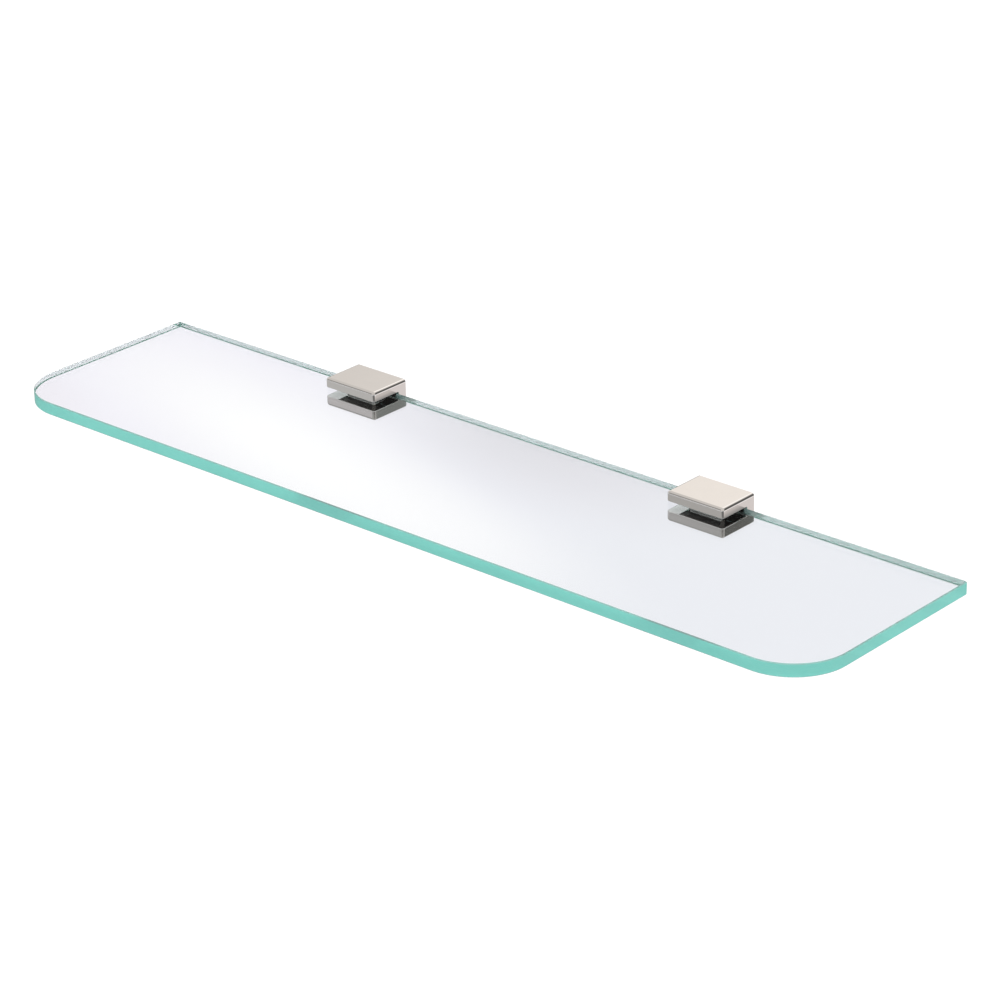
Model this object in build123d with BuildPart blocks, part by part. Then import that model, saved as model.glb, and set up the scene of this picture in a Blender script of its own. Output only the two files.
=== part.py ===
from build123d import *
import os

os.makedirs("parts", exist_ok=True)

# Wall shelf with brackets, in millimetres.
# +X runs along the shelf, the wall is the plane Y = 0, the front is towards -Y and +Z is up.
# The origin is on the wall plane, midway between the clamps and level with their wall screws.

# overall sizes
SHELF_LENGTH = 600.0
PROJECTION = 150.0            # wall plane to the front edge of the glass
STANDOFF = 7.5                # wall plane to the back edge of the glass
GLASS_THICKNESS = 8.0
GLASS_DEPTH = PROJECTION - STANDOFF
FRONT_CORNER_RADIUS = 35.0
ARRIS = 0.6                   # ground chamfer on every edge of the glass

# clamps
CLAMP_SPACING = 264.0         # centre to centre
CLAMP_WIDTH = 40.0
CLAMP_DEPTH = 28.0
CLAMP_HEIGHT = 22.5
TOP_ARM = 6.4                 # top of the clamp above the top of the glass
LOWER_JAW = 6.3
EDGE_RADIUS = 1.8
SLOT_EDGE_BREAK = 0.3
SLOT_INNER_RADIUS = 0.5

# heights that follow from them
CLAMP_TOP = CLAMP_HEIGHT / 2
CLAMP_BOTTOM = -CLAMP_HEIGHT / 2
GLASS_TOP = CLAMP_TOP - TOP_ARM
GLASS_BOTTOM = GLASS_TOP - GLASS_THICKNESS
JAW_TOP = CLAMP_BOTTOM + LOWER_JAW

# rubber that keeps the glass off the metal
GASKET_THICKNESS = 1.0
GASKET_PROUD = 0.3            # how far the gasket stands out of its recess
GASKET_WIDTH = 38.0
GASKET_DEPTH = 19.3
GASKET_BACK = -7.7
RECESS_PLAY = 0.05
BUFFER_THICKNESS = 1.0
BUFFER_HEIGHT = 7.6
ARM_UNDERSIDE = GLASS_TOP + GASKET_PROUD
WEB_FRONT = BUFFER_THICKNESS - STANDOFF

# pressure foot under the glass: a steel plate with a rubber pad on it
FOOT_WIDTH = 22.0
FOOT_DEPTH = 10.0
FOOT_CENTRE_Y = -14.0
FOOT_CORNER = 1.5
PLATE_THICKNESS = 1.0
PAD_THICKNESS = 0.8
PAD_BOTTOM = GLASS_BOTTOM - PAD_THICKNESS
PLATE_BOTTOM = PAD_BOTTOM - PLATE_THICKNESS
SOCKET_DEPTH = 0.5            # blind socket in the plate for a screw's point
SOCKET_RADIUS = 1.85
FOOT_RECESS_PLAY = 0.4        # all round the foot, in the jaw's recess
FOOT_RECESS_DEPTH = 1.3       # room for the foot to drop when the screws are loosened

# M5 x 5 dog-point clamp screws, two in each lower jaw
CLAMP_SCREW_OFFSET = 7.0
CLAMP_SCREW_RADIUS = 2.45
CLAMP_SCREW_HOLE = 2.5
CLAMP_SCREW_LENGTH = 5.0
DOG_RADIUS = 1.75
DOG_LENGTH = 1.2
POINT_PLAY = 0.02
CLAMP_HEX = 2.5
CLAMP_HEX_DEPTH = 2.2

# concealed wall plate, hooked inside a pocket in the back of the clamp
WALL_PLATE_WIDTH = 32.0
WALL_PLATE_THICKNESS = 4.0
WALL_PLATE_FRONT_HEIGHT = 13.0
WALL_PLATE_BACK_HEIGHT = 10.0
WALL_PLATE_CORNER = 1.0
POCKET_WIDTH = 33.0
POCKET_DEPTH = 4.2
POCKET_PLAY = 0.1             # under the hooked lip
POCKET_ENTRY = 13.4           # height of the pocket's mouth, so that the plate's front passes through
WALL_HOLE_OFFSET = 9.0
WALL_HOLE_RADIUS = 2.25
WALL_HOLE_SINK_RADIUS = 4.4

# M3 x 4 cone-point lock screws, two in the underside of each clamp
LOCK_SCREW_OFFSET = 12.5
LOCK_SCREW_Y = -2.4
LOCK_SCREW_RADIUS = 1.45
LOCK_SCREW_HOLE = 1.5
LOCK_SCREW_LENGTH = 4.0
LOCK_POINT_CHAMFER = 1.0
LOCK_POINT_PLAY = 0.15
LOCK_HEX = 1.5
LOCK_HEX_DEPTH = 1.6

SCREW_CHAMFER = 0.3
HOLE_CHAMFER = 0.3


def save(builder, label):
    """Label one sub-part and write its STEP file."""
    builder.part.label = label
    export_step(builder.part, f"parts/{label}.step")


# ---------------------------------------------------------------- glass shelf
with BuildPart() as glass_shelf:
    with BuildSketch(Plane.XY.offset(GLASS_BOTTOM)) as outline:
        with Locations((0, -STANDOFF - GLASS_DEPTH / 2)):
            Rectangle(SHELF_LENGTH, GLASS_DEPTH)
        fillet(outline.vertices().group_by(Axis.Y)[0], FRONT_CORNER_RADIUS)
    extrude(amount=GLASS_THICKNESS)
    back_corners = glass_shelf.edges().filter_by(Axis.Z).group_by(Axis.Y)[-1]
    rims = glass_shelf.faces().filter_by(Axis.Z).edges()
    chamfer(rims + back_corners, ARRIS)
save(glass_shelf, "glass_shelf")


# The two clamps are alike, so each of their pieces is made once for either side.
for side, clamp_x in (("left", -CLAMP_SPACING / 2), ("right", CLAMP_SPACING / 2)):

    # ------------------------------------------------------------ clamp body
    with BuildPart() as clamp_body:
        with BuildSketch(Plane.XZ.offset(0)):
            with Locations((clamp_x, 0)):
                Rectangle(CLAMP_WIDTH, CLAMP_HEIGHT)
        extrude(amount=CLAMP_DEPTH)
        wall_rim = clamp_body.faces().sort_by(Axis.Y)[-1].edges()
        fillet(clamp_body.edges() - wall_rim, EDGE_RADIUS)

        # slot for the glass, open at the front and at both sides
        with BuildSketch(Plane.YZ.offset(clamp_x - CLAMP_WIDTH / 2)) as slot:
            with BuildLine():
                Polyline(
                    (-CLAMP_DEPTH, JAW_TOP),
                    (WEB_FRONT, JAW_TOP),
                    (WEB_FRONT, ARM_UNDERSIDE),
                    (-CLAMP_DEPTH, ARM_UNDERSIDE),
                    close=True,
                )
            make_face()
            fillet(slot.vertices().group_by(Axis.X)[-1], SLOT_INNER_RADIUS)
        extrude(amount=CLAMP_WIDTH, mode=Mode.SUBTRACT)
        slot_rims = clamp_body.edges().filter_by_position(
            Axis.Z, JAW_TOP - 0.01, ARM_UNDERSIDE + 0.01
        )
        slot_rims = slot_rims.filter_by_position(Axis.Y, -CLAMP_DEPTH - 0.01, WEB_FRONT + 0.01)
        bends = slot_rims.filter_by(Axis.X).filter_by_position(Axis.Y, -CLAMP_DEPTH / 2, 0)
        slot_rims = slot_rims - bends
        fillet(slot_rims, SLOT_EDGE_BREAK)

        # recess for the gasket in the underside of the top arm
        with BuildSketch(Plane.XY.offset(ARM_UNDERSIDE)):
            with Locations((clamp_x, GASKET_BACK - GASKET_DEPTH / 2)):
                Rectangle(GASKET_WIDTH + 2 * RECESS_PLAY, GASKET_DEPTH + 2 * RECESS_PLAY)
        extrude(amount=GASKET_THICKNESS - GASKET_PROUD, mode=Mode.SUBTRACT)

        # pocket for the wall plate, with a lip that hooks over the plate's upper bevel
        lip_height = WALL_PLATE_BACK_HEIGHT / 2 + POCKET_PLAY
        roof_height = WALL_PLATE_FRONT_HEIGHT / 2 + POCKET_PLAY
        floor_height = lip_height - POCKET_ENTRY
        with BuildSketch(Plane.YZ.offset(clamp_x - POCKET_WIDTH / 2)):
            with BuildLine():
                Polyline(
                    (0, floor_height),
                    (-POCKET_DEPTH, floor_height),
                    (-POCKET_DEPTH, roof_height),
                    (0, lip_height),
                    close=True,
                )
            make_face()
        extrude(amount=POCKET_WIDTH, mode=Mode.SUBTRACT)

        # recess in the lower jaw that the pressure foot drops into
        with BuildSketch(Plane.XY.offset(JAW_TOP)):
            with Locations((clamp_x, FOOT_CENTRE_Y)):
                RectangleRounded(
                    FOOT_WIDTH + 2 * FOOT_RECESS_PLAY,
                    FOOT_DEPTH + 2 * FOOT_RECESS_PLAY,
                    FOOT_CORNER + FOOT_RECESS_PLAY,
                )
        extrude(amount=-FOOT_RECESS_DEPTH, mode=Mode.SUBTRACT)

        # tapped holes through the lower jaw for the clamp screws
        with BuildSketch(Plane.XY.offset(CLAMP_BOTTOM)):
            with Locations(
                (clamp_x - CLAMP_SCREW_OFFSET, FOOT_CENTRE_Y),
                (clamp_x + CLAMP_SCREW_OFFSET, FOOT_CENTRE_Y),
            ):
                Circle(CLAMP_SCREW_HOLE)
        extrude(amount=LOWER_JAW, mode=Mode.SUBTRACT)

        # tapped holes up into the pocket for the lock screws
        with BuildSketch(Plane.XY.offset(CLAMP_BOTTOM)):
            with Locations(
                (clamp_x - LOCK_SCREW_OFFSET, LOCK_SCREW_Y),
                (clamp_x + LOCK_SCREW_OFFSET, LOCK_SCREW_Y),
            ):
                Circle(LOCK_SCREW_HOLE)
        extrude(amount=floor_height - CLAMP_BOTTOM, mode=Mode.SUBTRACT)
        mouths = clamp_body.faces().sort_by(Axis.Z)[0].edges().filter_by(GeomType.CIRCLE)
        mouths = mouths.filter_by(lambda edge: edge.is_closed)
        chamfer(mouths, HOLE_CHAMFER)
    save(clamp_body, f"{side}_clamp_body")

    # ----------------------------------------------- rubber against the glass
    with BuildPart() as upper_gasket:
        with BuildSketch(Plane.XY.offset(GLASS_TOP)):
            with Locations((clamp_x, GASKET_BACK - GASKET_DEPTH / 2)):
                Rectangle(GASKET_WIDTH, GASKET_DEPTH)
        extrude(amount=GASKET_THICKNESS)
    save(upper_gasket, f"{side}_upper_gasket")

    with BuildPart() as back_buffer:
        with BuildSketch(Plane.XZ.offset(-WEB_FRONT)):
            with Locations((clamp_x, (GLASS_TOP + GLASS_BOTTOM) / 2)):
                Rectangle(GASKET_WIDTH, BUFFER_HEIGHT)
        extrude(amount=BUFFER_THICKNESS)
        front_rim = back_buffer.faces().sort_by(Axis.Y)[0].edges()
        chamfer(front_rim, BUFFER_THICKNESS / 4)
    save(back_buffer, f"{side}_back_buffer")

    # ---------------------------------------------------------- pressure foot
    with BuildPart() as pressure_plate:
        with BuildSketch(Plane.XY.offset(PLATE_BOTTOM)):
            with Locations((clamp_x, FOOT_CENTRE_Y)):
                RectangleRounded(FOOT_WIDTH, FOOT_DEPTH, FOOT_CORNER)
        extrude(amount=PLATE_THICKNESS)
        with BuildSketch(Plane.XY.offset(PLATE_BOTTOM)):
            with Locations(
                (clamp_x - CLAMP_SCREW_OFFSET, FOOT_CENTRE_Y),
                (clamp_x + CLAMP_SCREW_OFFSET, FOOT_CENTRE_Y),
            ):
                Circle(SOCKET_RADIUS)
        extrude(amount=SOCKET_DEPTH, mode=Mode.SUBTRACT)
    save(pressure_plate, f"{side}_pressure_plate")

    with BuildPart() as pressure_pad:
        with BuildSketch(Plane.XY.offset(PAD_BOTTOM)):
            with Locations((clamp_x, FOOT_CENTRE_Y)):
                RectangleRounded(FOOT_WIDTH, FOOT_DEPTH, FOOT_CORNER)
        extrude(amount=PAD_THICKNESS)
    save(pressure_pad, f"{side}_pressure_pad")

    # ----------------------------------------------------------- clamp screws
    point_top = PLATE_BOTTOM + SOCKET_DEPTH - POINT_PLAY
    for place, screw_x in (
        ("a", clamp_x - CLAMP_SCREW_OFFSET),
        ("b", clamp_x + CLAMP_SCREW_OFFSET),
    ):
        with BuildPart() as clamp_screw:
            with BuildSketch(Plane.XY.offset(point_top - CLAMP_SCREW_LENGTH)):
                with Locations((screw_x, FOOT_CENTRE_Y)):
                    Circle(CLAMP_SCREW_RADIUS)
            extrude(amount=CLAMP_SCREW_LENGTH - DOG_LENGTH)
            chamfer(clamp_screw.edges().filter_by(GeomType.CIRCLE), SCREW_CHAMFER)
            with BuildSketch(Plane.XY.offset(point_top - DOG_LENGTH)):
                with Locations((screw_x, FOOT_CENTRE_Y)):
                    Circle(DOG_RADIUS)
            extrude(amount=DOG_LENGTH)
            chamfer(clamp_screw.faces().sort_by(Axis.Z)[-1].edges(), SCREW_CHAMFER / 2)
            with BuildSketch(Plane.XY.offset(point_top - CLAMP_SCREW_LENGTH)):
                with Locations((screw_x, FOOT_CENTRE_Y)):
                    RegularPolygon(CLAMP_HEX / 2, 6, major_radius=False)
            extrude(amount=CLAMP_HEX_DEPTH, mode=Mode.SUBTRACT)
        save(clamp_screw, f"{side}_clamp_screw_{place}")

    # ------------------------------------------------------------- wall plate
    with BuildPart() as wall_plate:
        with BuildSketch(Plane.YZ.offset(clamp_x - WALL_PLATE_WIDTH / 2)):
            with BuildLine():
                Polyline(
                    (0, -WALL_PLATE_BACK_HEIGHT / 2),
                    (-WALL_PLATE_THICKNESS, -WALL_PLATE_FRONT_HEIGHT / 2),
                    (-WALL_PLATE_THICKNESS, WALL_PLATE_FRONT_HEIGHT / 2),
                    (0, WALL_PLATE_BACK_HEIGHT / 2),
                    close=True,
                )
            make_face()
        extrude(amount=WALL_PLATE_WIDTH)
        side_edges = wall_plate.faces().filter_by(Axis.X).edges()
        corners = side_edges - wall_plate.faces().filter_by(Axis.Y).edges()
        fillet(corners, WALL_PLATE_CORNER)
        with Locations(
            Plane(origin=(clamp_x - WALL_HOLE_OFFSET, -WALL_PLATE_THICKNESS, 0), z_dir=(0, -1, 0)),
            Plane(origin=(clamp_x + WALL_HOLE_OFFSET, -WALL_PLATE_THICKNESS, 0), z_dir=(0, -1, 0)),
        ):
            CounterSinkHole(WALL_HOLE_RADIUS, WALL_HOLE_SINK_RADIUS, depth=WALL_PLATE_THICKNESS)
    save(wall_plate, f"{side}_wall_plate")

    # ------------------------------------------------------------ lock screws
    bevel_rise = (WALL_PLATE_FRONT_HEIGHT - WALL_PLATE_BACK_HEIGHT) / 2
    bevel_at_screw = -WALL_PLATE_BACK_HEIGHT / 2 + bevel_rise * LOCK_SCREW_Y / WALL_PLATE_THICKNESS
    cone_top = bevel_at_screw - LOCK_POINT_PLAY - (LOCK_SCREW_RADIUS - LOCK_POINT_CHAMFER) / 2
    for place, screw_x in (
        ("a", clamp_x - LOCK_SCREW_OFFSET),
        ("b", clamp_x + LOCK_SCREW_OFFSET),
    ):
        with BuildPart() as lock_screw:
            with BuildSketch(Plane.XY.offset(cone_top - LOCK_SCREW_LENGTH)):
                with Locations((screw_x, LOCK_SCREW_Y)):
                    Circle(LOCK_SCREW_RADIUS)
            extrude(amount=LOCK_SCREW_LENGTH)
            chamfer(lock_screw.faces().sort_by(Axis.Z)[0].edges(), SCREW_CHAMFER)
            chamfer(lock_screw.faces().sort_by(Axis.Z)[-1].edges(), LOCK_POINT_CHAMFER)
            with BuildSketch(Plane.XY.offset(cone_top - LOCK_SCREW_LENGTH)):
                with Locations((screw_x, LOCK_SCREW_Y)):
                    RegularPolygon(LOCK_HEX / 2, 6, major_radius=False)
            extrude(amount=LOCK_HEX_DEPTH, mode=Mode.SUBTRACT)
        save(lock_screw, f"{side}_lock_screw_{place}")
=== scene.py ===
"""Looks of the glass wall shelf with two polished clamps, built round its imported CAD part.

Everything is in metres in the part's own frame: +X along the shelf, the wall is the plane Y = 0,
the front is towards -Y and +Z is up.
"""

import math

import bmesh
import bpy
from mathutils import Matrix, Vector


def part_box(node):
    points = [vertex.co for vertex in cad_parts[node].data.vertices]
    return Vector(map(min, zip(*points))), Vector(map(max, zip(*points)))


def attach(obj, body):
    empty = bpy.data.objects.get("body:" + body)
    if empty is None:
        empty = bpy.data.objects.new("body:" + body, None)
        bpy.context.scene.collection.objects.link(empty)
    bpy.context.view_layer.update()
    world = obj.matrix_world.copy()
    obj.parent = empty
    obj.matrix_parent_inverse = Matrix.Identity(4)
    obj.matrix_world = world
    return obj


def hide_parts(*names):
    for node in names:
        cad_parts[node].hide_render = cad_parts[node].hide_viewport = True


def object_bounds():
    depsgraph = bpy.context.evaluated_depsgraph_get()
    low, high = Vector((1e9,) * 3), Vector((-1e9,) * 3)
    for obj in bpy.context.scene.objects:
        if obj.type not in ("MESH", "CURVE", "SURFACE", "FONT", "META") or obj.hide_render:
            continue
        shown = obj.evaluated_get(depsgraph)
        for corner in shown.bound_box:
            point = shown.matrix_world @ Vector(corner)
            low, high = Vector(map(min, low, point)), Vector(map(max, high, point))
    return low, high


MM = 0.001

# camera
LENS = 125.64
CAMERA_YAW = 41.885           # degrees round the shelf, from straight ahead
CAMERA_PITCH = 24.379         # degrees looking down
CAMERA_ROLL = -1.175
CAMERA_PLACE = (1.22566, -1.40878, 0.81039)
CAMERA_CLIP = (0.05, 100.0)

# light paths: glass seen on edge needs many bounces before a path leaves it
GLASS_BOUNCES = 48
MIRROR_BOUNCES = 32
DIFFUSE_BOUNCES = 4

# glass
FRONT_RADIUS = 35 * MM
ARRIS = 0.6 * MM
CORNER_STEPS = 48
STRAIGHT_END = 0.5 * MM       # short piece at each end of a straight side, so that only arcs shade smoothly
SHARP_ANGLE = 20.0            # degrees between faces from which an edge stays sharp
GLASS_IOR = 1.25
GLASS_TINT = (0.12, 0.775, 0.67, 1.0)
GLASS_TINT_DENSITY = 5.0      # per metre of glass
# one ground glass edge in three copies: dense teal on the front and right, and pale and clear copies on the
# back edge, the left end and the arrises, lit copies whose colours are painted lighter
DENSE_EDGE_COLOUR = (0.26, 0.76, 0.66, 1.0)
DENSE_EDGE_CLEARNESS = 0.25
DENSE_EDGE_GRIND = (0.10, 0.20)
PALE_EDGE_PAINTED_LIGHTER = (0.54, 0.87, 0.81, 1.0)
PALE_EDGE_CLEARNESS = 0.6
PALE_EDGE_GRIND = (0.18, 0.28)
CLEAR_EDGE_PAINTED_LIGHTER = (0.82, 1.0, 0.97, 1.0)
CLEAR_EDGE_CLEARNESS = 0.8
CLEAR_EDGE_GRIND = (0.10, 0.20)
FACE, DENSE_EDGE, PALE_EDGE, CLEAR_EDGE = range(4)    # material slots of the glass
# detail: how noise is stretched along X, Y and Z, and the roughness between its valleys and peaks
WIPE_STRETCH = (6.0, 45.0, 1.0)
WIPE_ROUGHNESS = (0.0, 0.012)
GRIND_STRETCH = (60.0, 60.0, 900.0)
DRIFT_STRETCH = (9.0, 9.0, 1.0)
EDGE_PALER = 0.08             # share of white in the ground marks
EDGE_DEEPER = 0.90            # brightness of the slow dark drifts

# metals and rubber
CHROME_COLOURS = (0.79, 0.78, 0.775, 1.0), (0.83, 0.82, 0.81, 1.0)
CHROME_CLOUD_SCALE = 90.0
CHROME_HAIR_STRETCH = (40.0, 2200.0, 2200.0)
CHROME_ROUGHNESS = (0.02, 0.055)
ORANGE_PEEL_SCALE = 260.0
RUBBER_COLOURS = (0.012, 0.012, 0.012, 1.0), (0.035, 0.034, 0.032, 1.0)
RUBBER_DUST_SCALE = 700.0
RUBBER_ROUGHNESS = (0.62, 0.82)
RUBBER_GLOSS = 0.25
PLATED_COLOURS = (0.60, 0.60, 0.58, 1.0), (0.44, 0.45, 0.45, 1.0)
PLATED_BLOTCH_SCALE = 160.0
PLATED_GRAIN_STRETCH = (60.0, 2600.0, 2600.0)
PLATED_ROUGHNESS = (0.26, 0.42)
STAINLESS_COLOURS = (0.46, 0.45, 0.43, 1.0), (0.58, 0.57, 0.55, 1.0)
LATHE_RING_STRETCH = (300.0, 300.0, 5200.0)
STAINLESS_ROUGHNESS = (0.22, 0.36)

# studio floor
FLOOR_SIZE = 40.0
FLOOR_CELLS = 8
FLOOR_DROP = 0.45
FLOOR_ROUGHNESS = 0.9
FLOOR_WHITE = (0.93, 0.93, 0.93, 1.0)
# painted lilac shade, which the floor shows only through the glass
FLOOR_PAINTED_LEFT_SHADE = (0.828, 0.788, 0.855, 1.0)
FLOOR_PAINTED_RIGHT_SHADE = (0.739, 0.730, 0.779, 1.0)
FLOOR_FADE = (-1.05, -0.50)   # X where the left shade turns into the right one
# painted pools of light and shade on the floor, seen only through the glass: centre, half axes in metres,
# turn in degrees, colour
FLOOR_PAINTED_POOLS = (
    ((-0.69, 0.785), (0.30, 0.13), -10.0, (0.658, 0.633, 0.679, 1.0)),
    ((-1.16, 0.58), (0.16, 0.07), -17.0, (0.80, 0.75, 0.81, 1.0)),
    ((-0.66, 0.60), (0.30, 0.10), -8.0, (0.84, 0.82, 0.85, 1.0)),
    ((-0.88, 0.640), (0.45, 0.125), -15.0, (0.93, 0.90, 0.91, 1.0)),
)

# what mirrors see below and above the horizon, and how far its edge fades up and down
MIRRORED_LOW = (0.32, 0.315, 0.315, 1.0)
MIRRORED_HIGH = (0.70, 0.66, 0.62, 1.0)
HORIZON_FADE = 0.3
# areas in it: direction (azimuth, elevation), inner and outer angle in degrees, colour
MIRRORED_AREAS = (
    ((20.0, 35.0), 17.0, 28.0, (1.03, 0.96, 0.89, 1.0)),
    ((22.0, 42.0), 8.0, 16.0, (1.20, 1.15, 1.10, 1.0)),
    ((128.0, -18.0), 4.0, 17.0, (0.565, 0.525, 0.54, 1.0)),
    ((-44.0, -30.0), 22.0, 34.0, (0.78, 0.72, 0.70, 1.0)),
    ((-46.0, -14.0), 5.0, 9.0, (1.15, 1.10, 1.08, 1.0)),
    ((-38.0, 18.0), 17.0, 31.0, (0.12, 0.115, 0.11, 1.0)),
    ((139.0, 22.5), 5.0, 15.0, (0.26, 0.255, 0.25, 1.0)),
    ((-132.0, -22.0), 10.0, 38.0, (0.14, 0.13, 0.125, 1.0)),
)
STUDIO_WHITE = (1.2, 1.2, 1.2, 1.0)
THROUGH_GLASS_WHITE = (0.75, 0.73, 0.735, 1.0)

# small glowing cards beside each clamp, seen only in its polished metal, whose colours are painted
# reflection and painted shade:
# one in the plane of the wall for the side of the lower jaw, and one on the glass round the top arm
WALL_CARD_NEAR = 22 * MM      # from the clamp to where the card starts to turn paler
WALL_CARD_WIDTH = 70 * MM
WALL_CARD_DROP = 35 * MM
# painted shade that each lower jaw's side mirrors, darker for the right clamp, fading to the paler far
# shade
WALL_CARD_LEFT_PAINTED_SHADE = (0.145, 0.155, 0.150, 1.0)
WALL_CARD_RIGHT_PAINTED_SHADE = (0.050, 0.055, 0.053, 1.0)
WALL_CARD_FAR = (0.40, 0.39, 0.38, 1.0)
CARD_REACH = 16 * MM
CARD_LIFT = 0.1 * MM
# painted reflections: a front shade for each clamp, sides from painted shade near the clamp to a painted
# highlight further off, and painted shade at the corner
CARD_LEFT_FRONT = (0.54, 0.53, 0.515, 1.0)
CARD_RIGHT_FRONT = (0.458, 0.445, 0.427, 1.0)
CARD_NEAR_SIDE = (0.34, 0.33, 0.32, 1.0)
CARD_MIDDLE_SIDE = (0.63, 0.58, 0.55, 1.0)
CARD_PAINTED_FAR_HIGHLIGHT = (1.15, 1.10, 1.08, 1.0)
CARD_PAINTED_CORNER_SHADE = (0.18, 0.175, 0.17, 1.0)
# distances from the clamp over which one shade of the card turns into the next
CARD_MIDDLE_FADE = (1 * MM, 5 * MM)
CARD_FAR_FADE = (6.5 * MM, 12 * MM)
CARD_SIDE_FADE = 1 * MM
CARD_FRONT_FADE = 2 * MM


# ------------------------------------------------------------------ node helpers
def new_material(name):
    material = bpy.data.materials.new(name)
    material.use_nodes = True
    shader = material.node_tree.nodes["Principled BSDF"]
    return material, material.node_tree, shader


def link(tree, source, target):
    tree.links.new(source, target)


def object_point(tree):
    return tree.nodes.new("ShaderNodeTexCoord").outputs["Object"]


def split(tree, vector):
    """The X, Y and Z of a vector, by name."""
    separate = tree.nodes.new("ShaderNodeSeparateXYZ")
    link(tree, vector, separate.inputs["Vector"])
    return separate.outputs


def stretched(tree, vector, scale):
    """The same place, stretched along the axes, for grain and scratches with a direction."""
    mapping = tree.nodes.new("ShaderNodeMapping")
    mapping.inputs["Scale"].default_value = scale
    link(tree, vector, mapping.inputs["Vector"])
    return mapping.outputs["Vector"]


def noise(tree, vector, scale, detail=4.0, roughness=0.6):
    """Fractal noise from 0 to 1; detail is its number of octaves."""
    node = tree.nodes.new("ShaderNodeTexNoise")
    node.inputs["Scale"].default_value = scale
    node.inputs["Detail"].default_value = detail
    node.inputs["Roughness"].default_value = roughness
    link(tree, vector, node.inputs["Vector"])
    return node.outputs["Fac"]


def ranged(tree, value, low, high, out_low=0.0, out_high=1.0):
    """A value from low to high, mapped to the range from out_low to out_high and held there."""
    node = tree.nodes.new("ShaderNodeMapRange")
    node.inputs["From Min"].default_value = low
    node.inputs["From Max"].default_value = high
    node.inputs["To Min"].default_value = out_low
    node.inputs["To Max"].default_value = out_high
    link(tree, value, node.inputs["Value"])
    return node.outputs["Result"]


def blended(tree, factor, first, second):
    """Mix of two colours; either is a colour or the output of another node."""
    node = tree.nodes.new("ShaderNodeMix")
    node.data_type = "RGBA"
    link(tree, factor, node.inputs["Factor"])
    for name, colour in (("A", first), ("B", second)):
        socket = next(s for s in node.inputs if s.name == name and s.type == "RGBA")
        if isinstance(colour, tuple):
            socket.default_value = colour
        else:
            link(tree, colour, socket)
    return next(s for s in node.outputs if s.type == "RGBA")


def bumped(tree, shader, height, strength, distance):
    """Fine relief from a height of 0 to 1, which stands for this distance."""
    node = tree.nodes.new("ShaderNodeBump")
    node.inputs["Strength"].default_value = strength
    node.inputs["Distance"].default_value = distance
    link(tree, height, node.inputs["Height"])
    link(tree, node.outputs["Normal"], shader.inputs["Normal"])


def multiplied(tree, first, second):
    node = tree.nodes.new("ShaderNodeMath")
    node.operation = "MULTIPLY"
    link(tree, first, node.inputs[0])
    link(tree, second, node.inputs[1])
    return node.outputs["Value"]


# --------------------------------------------------------------------- materials
def add_glass_body(material, tree):
    """Green iron tint, the same behind every face of the glass."""
    absorption = tree.nodes.new("ShaderNodeVolumeAbsorption")
    absorption.inputs["Color"].default_value = GLASS_TINT
    absorption.inputs["Density"].default_value = GLASS_TINT_DENSITY
    link(tree, absorption.outputs["Volume"], tree.nodes["Material Output"].inputs["Volume"])


def glass_face_material():
    """Float glass as it leaves the line, with faint wiping marks."""
    material, tree, shader = new_material("glass_face")
    shader.inputs["Base Color"].default_value = (1.0, 1.0, 1.0, 1.0)
    shader.inputs["Transmission Weight"].default_value = 1.0
    shader.inputs["IOR"].default_value = GLASS_IOR
    point = object_point(tree)
    wipes = noise(tree, stretched(tree, point, WIPE_STRETCH), 3.0)
    link(tree, ranged(tree, wipes, 0.45, 0.75, *WIPE_ROUGHNESS), shader.inputs["Roughness"])
    add_glass_body(material, tree)
    return material


def glass_edge_material(name, colour, clearness, grind_range):
    """Ground and polished edge: shows its given green, painted lighter in the pale and clear copies, and,
    as far as it is clear, the depth behind it.
    """
    material, tree, shader = new_material(name)
    shader.inputs["Transmission Weight"].default_value = clearness
    shader.inputs["IOR"].default_value = GLASS_IOR
    point = object_point(tree)
    grind = noise(tree, stretched(tree, point, GRIND_STRETCH), 4.0)
    drift = noise(tree, stretched(tree, point, DRIFT_STRETCH), 1.0, 2.0)
    paler = tuple((1 - EDGE_PALER) * channel + EDGE_PALER for channel in colour)
    deeper = tuple(EDGE_DEEPER * channel for channel in colour[:3]) + (1.0,)
    shade = blended(tree, ranged(tree, drift, 0.35, 0.65), deeper, colour)
    shade = blended(tree, ranged(tree, grind, 0.45, 0.8), shade, paler)
    link(tree, shade, shader.inputs["Base Color"])
    link(tree, ranged(tree, grind, 0.3, 0.7, *grind_range), shader.inputs["Roughness"])
    bumped(tree, shader, grind, 0.15, 0.05 * MM)
    add_glass_body(material, tree)
    return material


def chrome_material():
    """Mirror plating over die-cast zinc, with polishing hairlines and faint orange peel."""
    material, tree, shader = new_material("clamp_chrome")
    shader.inputs["Metallic"].default_value = 1.0
    point = object_point(tree)
    cloud = noise(tree, point, CHROME_CLOUD_SCALE)
    link(tree, blended(tree, cloud, *CHROME_COLOURS), shader.inputs["Base Color"])
    hairs = noise(tree, stretched(tree, point, CHROME_HAIR_STRETCH), 1.0, 3.0)
    link(tree, ranged(tree, hairs, 0.35, 0.75, *CHROME_ROUGHNESS), shader.inputs["Roughness"])
    peel = noise(tree, point, ORANGE_PEEL_SCALE, 1.0, 0.4)
    bumped(tree, shader, peel, 0.05, 0.02 * MM)
    return material


def rubber_material():
    """Matt moulded rubber with dust in its pores."""
    material, tree, shader = new_material("black_rubber")
    shader.inputs["Specular IOR Level"].default_value = RUBBER_GLOSS
    dust = noise(tree, object_point(tree), RUBBER_DUST_SCALE)
    link(tree, blended(tree, ranged(tree, dust, 0.5, 0.9), *RUBBER_COLOURS), shader.inputs["Base Color"])
    link(tree, ranged(tree, dust, 0.3, 0.7, *RUBBER_ROUGHNESS), shader.inputs["Roughness"])
    bumped(tree, shader, dust, 0.3, 0.05 * MM)
    return material


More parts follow.
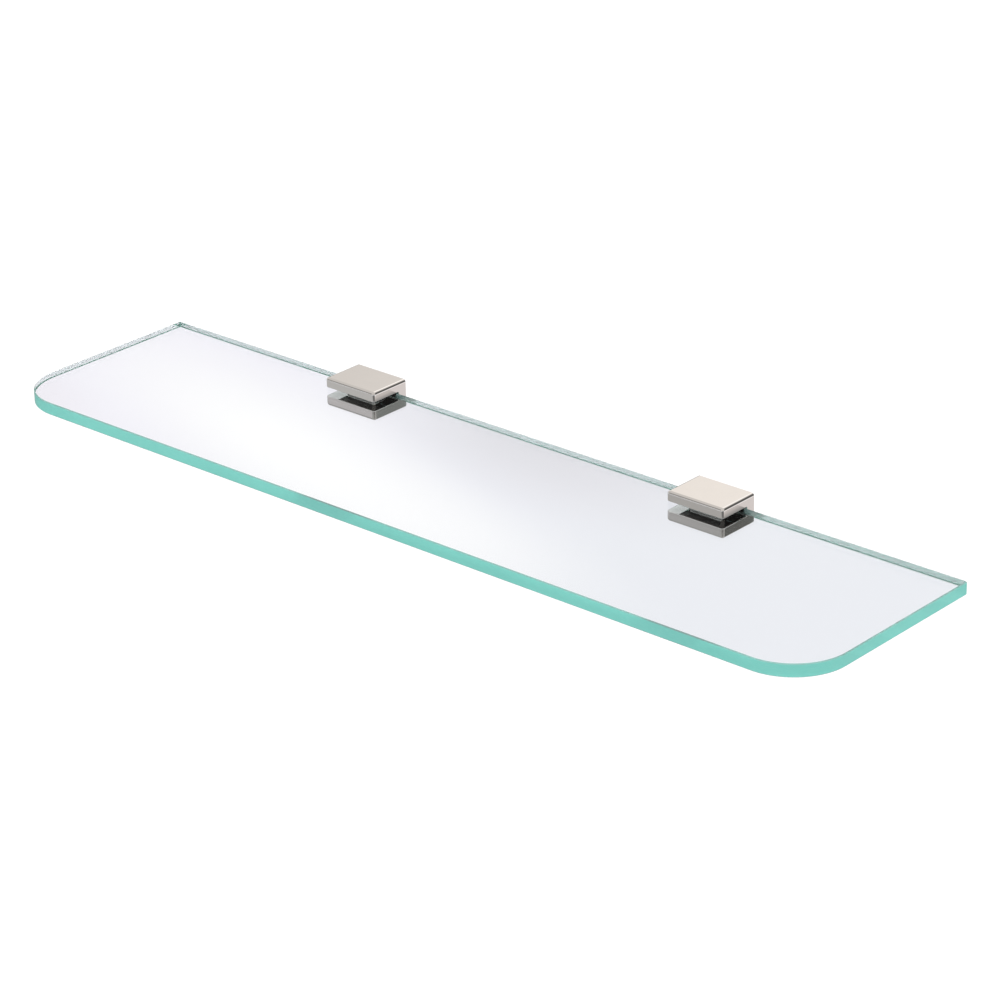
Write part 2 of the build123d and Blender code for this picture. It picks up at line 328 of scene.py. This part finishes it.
def plated_steel_material():
    """Zinc-plated plate, rolled along its length, with duller blotches in the plating."""
    material, tree, shader = new_material("plated_steel")
    shader.inputs["Metallic"].default_value = 1.0
    point = object_point(tree)
    blotch = noise(tree, point, PLATED_BLOTCH_SCALE)
    grain = noise(tree, stretched(tree, point, PLATED_GRAIN_STRETCH), 1.0, 3.0)
    link(tree, blended(tree, ranged(tree, blotch, 0.35, 0.7), *PLATED_COLOURS), shader.inputs["Base Color"])
    link(tree, ranged(tree, grain, 0.3, 0.7, *PLATED_ROUGHNESS), shader.inputs["Roughness"])
    bumped(tree, shader, grain, 0.2, 0.03 * MM)
    return material


def stainless_material():
    """Turned stainless steel of the set screws, with fine rings from the lathe."""
    material, tree, shader = new_material("stainless_steel")
    shader.inputs["Metallic"].default_value = 1.0
    point = object_point(tree)
    rings = noise(tree, stretched(tree, point, LATHE_RING_STRETCH), 1.0, 3.0)
    link(tree, blended(tree, rings, *STAINLESS_COLOURS), shader.inputs["Base Color"])
    link(tree, ranged(tree, rings, 0.3, 0.7, *STAINLESS_ROUGHNESS), shader.inputs["Roughness"])
    bumped(tree, shader, rings, 0.35, 0.04 * MM)
    return material


def seen_from_front(tree, surface):
    """Keeps a surface shader on the front of a sheet and makes its back clear."""
    clear = tree.nodes.new("ShaderNodeBsdfTransparent")
    mixed = tree.nodes.new("ShaderNodeMixShader")
    link(tree, tree.nodes.new("ShaderNodeNewGeometry").outputs["Backfacing"], mixed.inputs["Fac"])
    link(tree, surface, mixed.inputs[1])
    link(tree, clear.outputs["BSDF"], mixed.inputs[2])
    link(tree, mixed.outputs["Shader"], tree.nodes["Material Output"].inputs["Surface"])


def lit_from_front(tree, shade):
    """Makes a sheet glow on its front only; shade is the output of a node."""
    lit = tree.nodes.new("ShaderNodeEmission")
    link(tree, shade, lit.inputs["Color"])
    seen_from_front(tree, lit.outputs["Emission"])


def painted_pool_mask(tree, point, centre, reach, turn):
    """Mask of a painted pool of light or shade: 1 at a point of the floor, fading to 0 at an ellipse round
    it; reach is its two half axes.
    """
    mapping = tree.nodes.new("ShaderNodeMapping")
    mapping.vector_type = "TEXTURE"
    mapping.inputs["Location"].default_value = (centre[0], centre[1], 0.0)
    mapping.inputs["Rotation"].default_value = (0.0, 0.0, math.radians(turn))
    mapping.inputs["Scale"].default_value = (reach[0], reach[1], 1.0)
    link(tree, point, mapping.inputs["Vector"])
    length = tree.nodes.new("ShaderNodeVectorMath")
    length.operation = "LENGTH"
    link(tree, mapping.outputs["Vector"], length.inputs[0])
    fade = tree.nodes.new("ShaderNodeMapRange")
    fade.interpolation_type = "SMOOTHSTEP"
    fade.inputs["From Min"].default_value = 1.0
    fade.inputs["From Max"].default_value = 0.0
    link(tree, length.outputs["Value"], fade.inputs["Value"])
    return fade.outputs["Result"]


def floor_material():
    """Plain white to the eye; through the glass it shows faint painted lilac shade and painted pools of
    light and shade, standing in for a softly lit floor.
    """
    material, tree, shader = new_material("studio_floor")
    shader.inputs["Roughness"].default_value = FLOOR_ROUGHNESS
    shader.inputs["Specular IOR Level"].default_value = 0.0
    point = object_point(tree)
    # painted shade and painted pools of light, for every ray but camera rays
    shade = blended(tree, ranged(tree, split(tree, point)["X"], *FLOOR_FADE), FLOOR_PAINTED_LEFT_SHADE, FLOOR_PAINTED_RIGHT_SHADE)
    for centre, reach, turn, colour in FLOOR_PAINTED_POOLS:
        shade = blended(tree, painted_pool_mask(tree, point, centre, reach, turn), shade, colour)
    path = tree.nodes.new("ShaderNodeLightPath")
    shade = blended(tree, path.outputs["Is Camera Ray"], shade, FLOOR_WHITE)
    link(tree, shade, shader.inputs["Base Color"])
    seen_from_front(tree, shader.outputs["BSDF"])
    return material


def wall_card_material(name, near_shade, half_width):
    """Glowing card in the plane of the wall, a painted reflection: painted shade beside the clamp and paler
    further off.
    """
    material, tree, shader = new_material(name)
    tree.nodes.remove(shader)
    across = split(tree, object_point(tree))["X"]
    distance = ranged(tree, across, half_width + WALL_CARD_NEAR, half_width + WALL_CARD_WIDTH)
    lit_from_front(tree, blended(tree, distance, near_shade, WALL_CARD_FAR))
    return material


def card_material(name, front, half_width, front_y):
    """Glowing grey card in front of the clamp, a painted reflection: painted shade past its right corner
    and a lighter painted highlight beside it.
    """
    material, tree, shader = new_material(name)
    tree.nodes.remove(shader)
    place = split(tree, object_point(tree))
    across = place["X"]
    middle_fade, far_fade = (
        ranged(tree, across, half_width + near, half_width + far)
        for near, far in (CARD_MIDDLE_FADE, CARD_FAR_FADE)
    )
    side = blended(tree, middle_fade, CARD_NEAR_SIDE, CARD_MIDDLE_SIDE)
    side = blended(tree, far_fade, side, CARD_PAINTED_FAR_HIGHLIGHT)
    past_side = ranged(tree, across, half_width - CARD_SIDE_FADE, half_width + CARD_SIDE_FADE)
    past_front = ranged(tree, place["Y"], front_y, front_y + CARD_FRONT_FADE, 1.0, 0.0)
    shade = blended(tree, past_side, front, side)
    shade = blended(tree, multiplied(tree, past_side, past_front), shade, CARD_PAINTED_CORNER_SHADE)
    lit_from_front(tree, shade)
    return material


# ------------------------------------------------------------------------ meshes
def mesh_object(name, mesh, materials):
    """Turns a bmesh into an object of the scene."""
    data = bpy.data.meshes.new(name)
    mesh.to_mesh(data)
    mesh.free()
    for material in materials:
        data.materials.append(material)
    item = bpy.data.objects.new(name, data)
    bpy.context.scene.collection.objects.link(item)
    return item


# ------------------------------------------------------------------------- glass
def shelf_outline(low, high):
    """Plan of the shelf, anticlockwise from the left end of the front edge."""
    radius = FRONT_RADIUS
    points = [(low.x + radius + STRAIGHT_END, low.y), (high.x - radius - STRAIGHT_END, low.y)]
    for centre_x, start in ((high.x - radius, -math.pi / 2), (low.x + radius, math.pi)):
        arc = []
        for step in range(CORNER_STEPS + 1):
            angle = start + step * math.pi / 2 / CORNER_STEPS
            arc.append((centre_x + radius * math.cos(angle), low.y + radius + radius * math.sin(angle)))
        if centre_x > 0:
            points += arc
            points += [(high.x, low.y + radius + STRAIGHT_END), (high.x, high.y - ARRIS)]
            points += [(high.x - ARRIS, high.y), (low.x + ARRIS, high.y)]
            points += [(low.x, high.y - ARRIS), (low.x, low.y + radius + STRAIGHT_END)]
        else:
            points += arc
    return [Vector(point) for point in points]


def inset(points, distance):
    """The same closed outline, moved inwards by a distance all round."""
    moved = []
    count = len(points)
    for index, point in enumerate(points):
        before = (point - points[index - 1]).normalized()
        after = (points[(index + 1) % count] - point).normalized()
        normal_before = Vector((-before.y, before.x))
        normal_after = Vector((-after.y, after.x))
        middle = (normal_before + normal_after).normalized()
        moved.append(point + middle * (distance / middle.dot(normal_after)))
    return moved


def edge_kind(point, low, high):
    """The back edge gets the pale copy, and the left end, up to the middle of its corner, the clearest one:
    painted light on the same glass edge.
    """
    turn = FRONT_RADIUS * (1 - math.cos(math.pi / 4))
    if point.x < low.x + turn and low.y + turn < point.y < high.y - 2 * ARRIS:
        return CLEAR_EDGE
    return PALE_EDGE if point.y > high.y - 2 * ARRIS else DENSE_EDGE


def arris_kind(side_kind):
    """An arris gets the next lighter painted copy: one step clearer than the edge it belongs to."""
    return PALE_EDGE if side_kind == DENSE_EDGE else CLEAR_EDGE


def build_glass():
    """The shelf with finely stepped corners and a ground arris along every edge."""
    low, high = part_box("glass_shelf")
    outline = shelf_outline(low, high)
    inner = inset(outline, ARRIS)
    mesh = bmesh.new()
    rings = []
    for plan, height in (
        (inner, low.z),
        (outline, low.z + ARRIS),
        (outline, high.z - ARRIS),
        (inner, high.z),
    ):
        rings.append([mesh.verts.new((point.x, point.y, height)) for point in plan])
    mesh.faces.new(list(reversed(rings[0]))).material_index = FACE
    mesh.faces.new(rings[-1]).material_index = FACE
    count = len(outline)
    for tier, (lower, upper) in enumerate(zip(rings, rings[1:])):
        for index in range(count):
            following = (index + 1) % count
            side = mesh.faces.new((lower[index], lower[following], upper[following], upper[index]))
            middle = (outline[index] + outline[following]) / 2
            kind = edge_kind(middle, low, high)
            side.material_index = kind if tier == 1 else arris_kind(kind)
    plate = mesh_object("glass_plate", mesh, (
        glass_face_material(),
        glass_edge_material("dense_edge", DENSE_EDGE_COLOUR, DENSE_EDGE_CLEARNESS, DENSE_EDGE_GRIND),
        glass_edge_material("pale_edge_lit_copy", PALE_EDGE_PAINTED_LIGHTER, PALE_EDGE_CLEARNESS, PALE_EDGE_GRIND),
        glass_edge_material("clear_edge_lit_copy", CLEAR_EDGE_PAINTED_LIGHTER, CLEAR_EDGE_CLEARNESS, CLEAR_EDGE_GRIND),
    ))
    plate.data.shade_smooth()
    plate.data.set_sharp_from_angle(angle=math.radians(SHARP_ANGLE))
    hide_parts("glass_shelf")
    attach(plate, "glass")


# ---------------------------------------------------------------------- hardware
def dress(nodes, endings, material):
    """Gives every CAD node whose name ends in one of these ways a material."""
    for name, node in nodes.items():
        if name.endswith(endings):
            node.data.materials.clear()
            node.data.materials.append(material)


def dress_hardware(nodes):
    dress(nodes, ("_clamp_body",), chrome_material())
    dress(nodes, ("_upper_gasket", "_back_buffer", "_pressure_pad"), rubber_material())
    dress(nodes, ("_pressure_plate", "_wall_plate"), plated_steel_material())
    dress(nodes, ("_clamp_screw_a", "_clamp_screw_b", "_lock_screw_a", "_lock_screw_b"),
          stainless_material())


# ------------------------------------------------------------------------ studio
def direction(azimuth, elevation):
    """Unit vector; azimuth 0 is the wall's direction (+Y) and 90 is the left (-X)."""
    a, e = math.radians(azimuth), math.radians(elevation)
    return (-math.sin(a) * math.cos(e), math.cos(a) * math.cos(e), math.sin(e))


def lobe(tree, heading, towards, inner, outer):
    """1 within the inner angle of a direction, fading to 0 at the outer angle, in degrees."""
    dot = tree.nodes.new("ShaderNodeVectorMath")
    dot.operation = "DOT_PRODUCT"
    dot.inputs[1].default_value = direction(*towards)
    link(tree, heading, dot.inputs[0])
    node = tree.nodes.new("ShaderNodeMapRange")
    node.interpolation_type = "SMOOTHSTEP"
    node.inputs["From Min"].default_value = math.cos(math.radians(outer))
    node.inputs["From Max"].default_value = math.cos(math.radians(inner))
    link(tree, dot.outputs["Value"], node.inputs["Value"])
    return node.outputs["Result"]


def studio_world():
    """Soft white studio. Only mirror reflections see the darker and lighter areas of its layout."""
    world = bpy.data.worlds.new("studio")
    bpy.context.scene.world = world
    world.use_nodes = True
    tree = world.node_tree
    background = tree.nodes["Background"]
    heading = tree.nodes.new("ShaderNodeTexCoord").outputs["Generated"]
    above_horizon = ranged(tree, split(tree, heading)["Z"], -HORIZON_FADE, HORIZON_FADE)
    layout = blended(tree, above_horizon, MIRRORED_LOW, MIRRORED_HIGH)
    for towards, inner, outer, colour in MIRRORED_AREAS:
        layout = blended(tree, lobe(tree, heading, towards, inner, outer), layout, colour)
    path = tree.nodes.new("ShaderNodeLightPath")
    colour = blended(tree, path.outputs["Is Glossy Ray"], STUDIO_WHITE, layout)
    colour = blended(tree, path.outputs["Is Transmission Ray"], colour, THROUGH_GLASS_WHITE)
    link(tree, colour, background.inputs["Color"])
    background.inputs["Strength"].default_value = 1.0


def build_hidden_sheet(name, origin, rectangles, material, upright=False):
    """Flat rectangles facing up, or forwards if upright, that only mirror reflections can see."""
    mesh = bmesh.new()
    for low_x, low_y, high_x, high_y in rectangles:
        corners = ((low_x, low_y), (high_x, low_y), (high_x, high_y), (low_x, high_y))
        mesh.faces.new([mesh.verts.new((x, y, 0.0)) for x, y in corners])
    sheet = mesh_object(name, mesh, (material,))
    sheet.location = origin
    if upright:
        sheet.rotation_euler = (math.pi / 2, 0.0, 0.0)
    sheet.visible_camera = False
    sheet.visible_diffuse = False
    sheet.visible_transmission = False
    sheet.visible_shadow = False


def build_reflectors():
    """Two cards for each clamp, glowing with painted reflections: in the plane of the wall to its right,
    and on the glass round its arm.
    """
    glass_low, glass_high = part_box("glass_shelf")
    for side, front, wall_shade in (
        ("left", CARD_LEFT_FRONT, WALL_CARD_LEFT_PAINTED_SHADE),
        ("right", CARD_RIGHT_FRONT, WALL_CARD_RIGHT_PAINTED_SHADE),
    ):
        low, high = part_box(f"{side}_clamp_body")
        half = (high.x - low.x) / 2
        middle = (low.x + high.x) / 2
        beside = (half, -WALL_CARD_DROP, half + WALL_CARD_WIDTH, glass_low.z - low.z)
        wall_card = wall_card_material(f"{side}_wall_card", wall_shade, half)
        build_hidden_sheet(f"{side}_wall_card", (middle, high.y, low.z), (beside,), wall_card, True)
        around = (
            (-half - CARD_REACH, low.y - CARD_REACH, half + CARD_REACH, low.y),
            (-half - CARD_REACH, low.y, -half, glass_high.y),
            (half, low.y, half + CARD_REACH, glass_high.y),
        )
        card = card_material(f"{side}_card", front, half, low.y)
        build_hidden_sheet(f"{side}_card", (middle, 0.0, glass_high.z + CARD_LIFT), around, card)


def build_floor():
    """Wide level sheet below the shelf, which mirrors don't see."""
    low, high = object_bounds()
    mesh = bmesh.new()
    bmesh.ops.create_grid(mesh, x_segments=FLOOR_CELLS, y_segments=FLOOR_CELLS, size=FLOOR_SIZE / 2)
    floor = mesh_object("floor", mesh, (floor_material(),))
    floor.location = (0.0, 0.0, low.z - FLOOR_DROP)
    floor.visible_glossy = False


def build_camera():
    """Long lens at the photograph's angle."""
    yaw, pitch, roll = (math.radians(a) for a in (CAMERA_YAW, CAMERA_PITCH, CAMERA_ROLL))
    forward = Vector((-math.sin(yaw) * math.cos(pitch), math.cos(yaw) * math.cos(pitch), -math.sin(pitch)))
    right = Vector((math.cos(yaw), math.sin(yaw), 0.0))
    up = right.cross(forward)
    across = right * math.cos(roll) + up * math.sin(roll)
    upright = up * math.cos(roll) - right * math.sin(roll)
    data = bpy.data.cameras.new("camera")
    data.lens = LENS
    data.clip_start, data.clip_end = CAMERA_CLIP
    camera = bpy.data.objects.new("camera", data)
    bpy.context.scene.collection.objects.link(camera)
    turn = Matrix((across, upright, -forward)).transposed().to_4x4()
    camera.matrix_world = Matrix.Translation(CAMERA_PLACE) @ turn
    bpy.context.scene.camera = camera


def set_light_paths():
    """Plain colours, and enough bounces for the glass."""
    scene = bpy.context.scene
    scene.view_settings.view_transform = "Standard"
    scene.cycles.max_bounces = GLASS_BOUNCES
    scene.cycles.glossy_bounces = MIRROR_BOUNCES
    scene.cycles.transmission_bounces = GLASS_BOUNCES
    scene.cycles.diffuse_bounces = DIFFUSE_BOUNCES
    scene.cycles.caustics_reflective = True
    scene.cycles.caustics_refractive = True
    scene.cycles.use_denoising = True


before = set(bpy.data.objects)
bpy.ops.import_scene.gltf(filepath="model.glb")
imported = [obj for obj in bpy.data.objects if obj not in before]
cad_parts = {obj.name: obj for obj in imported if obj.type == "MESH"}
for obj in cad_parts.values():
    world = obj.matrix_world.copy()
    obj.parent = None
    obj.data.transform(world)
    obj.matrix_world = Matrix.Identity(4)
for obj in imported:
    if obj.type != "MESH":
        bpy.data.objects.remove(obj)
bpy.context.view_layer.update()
build_glass()
dress_hardware(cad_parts)
build_floor()
build_reflectors()
studio_world()
build_camera()
set_light_paths()
